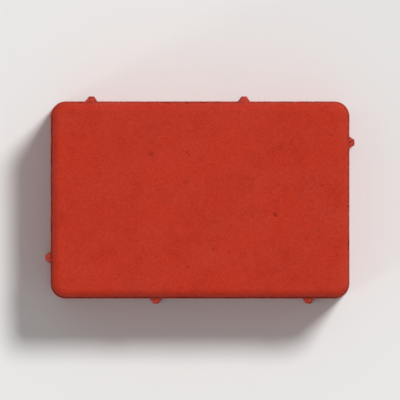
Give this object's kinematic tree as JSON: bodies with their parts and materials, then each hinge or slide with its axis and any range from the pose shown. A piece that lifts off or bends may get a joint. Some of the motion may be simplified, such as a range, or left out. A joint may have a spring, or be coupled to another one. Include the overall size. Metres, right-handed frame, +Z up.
{
  "type": "concrete paving stone",
  "caption": "Pressed concrete paving stone: a rectangular block with rounded corners, a rounded edge round its walking face and upright spacer nibs on its sides.",
  "frame": {"origin": "middle of the underside, where the stone lies on its bed", "axes": "+X along the stone, +Y across it, +Z up, out of the walking face"},
  "size_m": [0.1826, 0.1226, 0.06],
  "materials": {
    "red_concrete": "matte"
  },
  "bodies": {
    "root": {"paving_stone": "red_concrete"}
  },
  "joints": []
}
